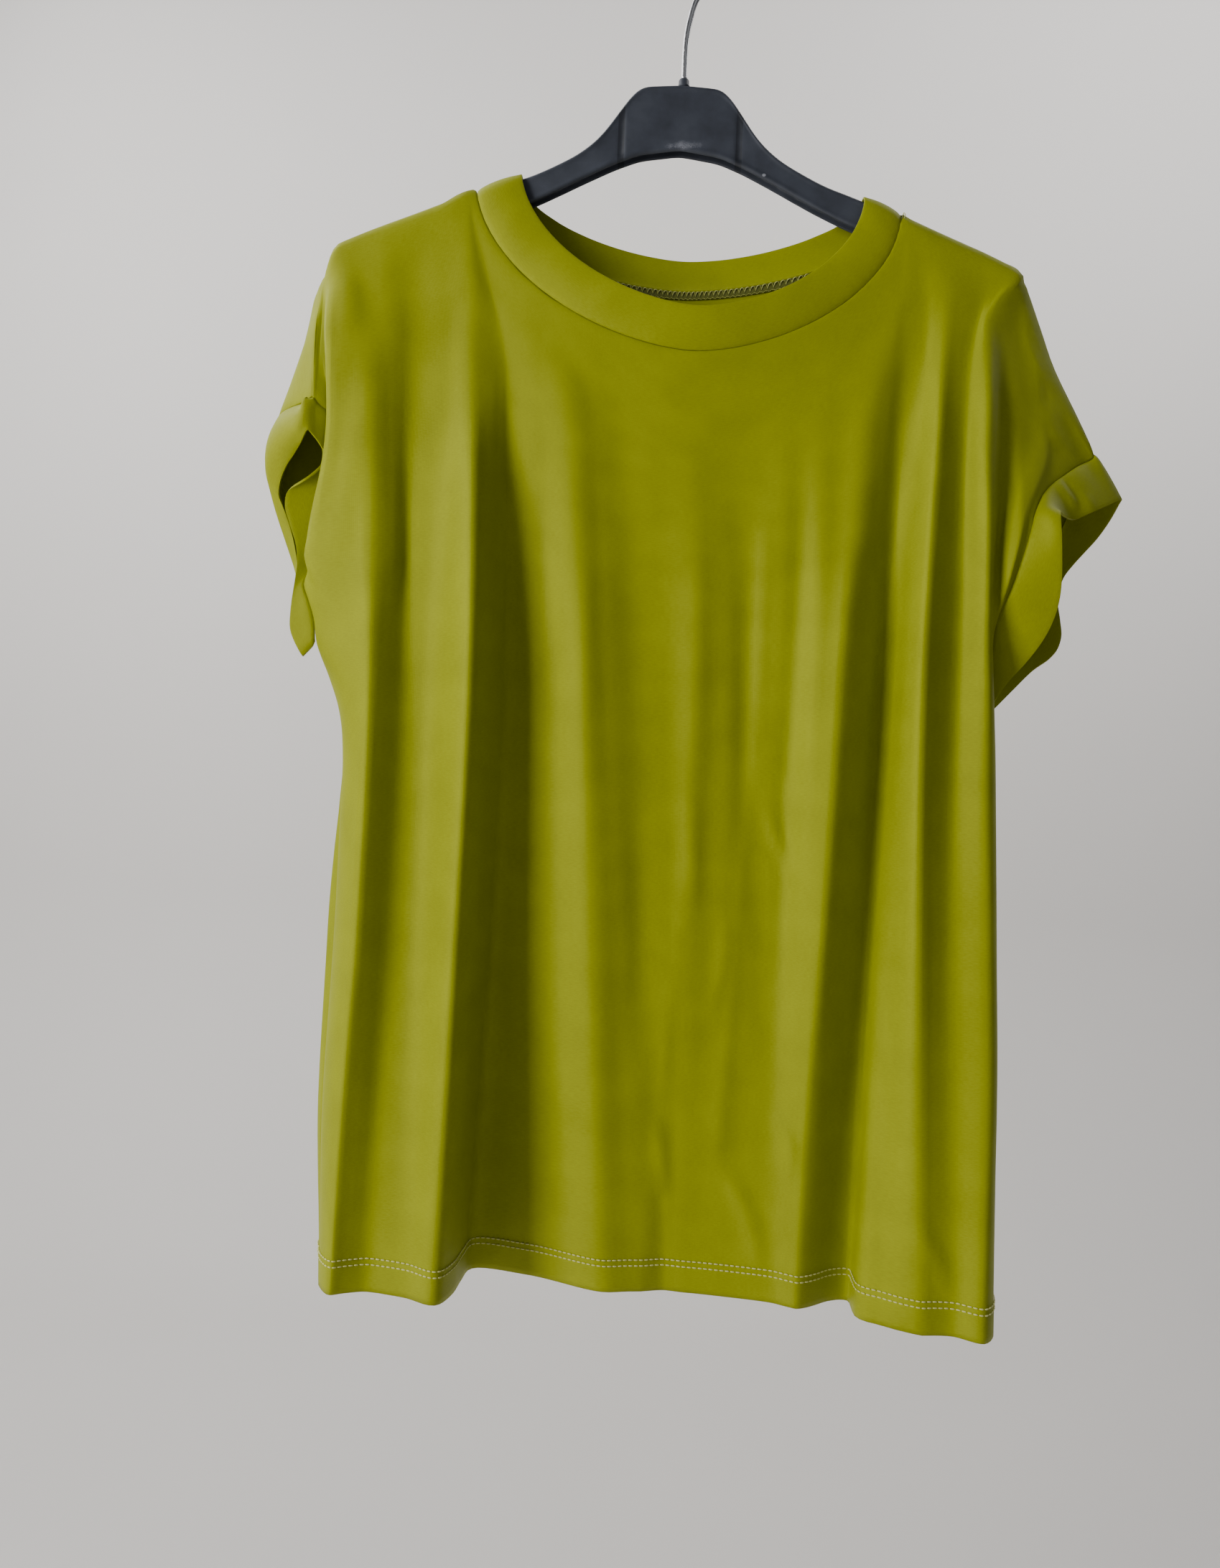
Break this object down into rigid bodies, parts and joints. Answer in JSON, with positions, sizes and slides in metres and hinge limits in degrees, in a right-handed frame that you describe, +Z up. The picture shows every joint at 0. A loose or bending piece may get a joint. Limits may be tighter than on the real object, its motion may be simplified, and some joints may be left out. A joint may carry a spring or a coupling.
{
  "type": "knit top on a hanger",
  "caption": "Loose short-sleeved knit top with a wide banded neck and banded cuffs, hung flat in soft folds on a plastic hanger with a wire hook.",
  "frame": {"origin": "inner crest of the hook, where a rail carries it", "axes": "+Z up, -Y out of the garment's front, +X to the right as seen from the front"},
  "size_m": [0.5165, 0.0948, 0.8226],
  "materials": {
    "jersey": "olive green viscose jersey, fine knit with a soft sheen",
    "hanger_plastic": "near-black moulded plastic, satin",
    "hook_steel": "bright plated wire"
  },
  "bodies": {
    "root": {"front": "jersey", "back": "jersey", "neckband": "jersey", "left_cuff": "jersey", "right_cuff": "jersey", "hanger": "hanger_plastic", "hook_socket": "hanger_plastic", "hook": "hook_steel"}
  },
  "joints": []
}
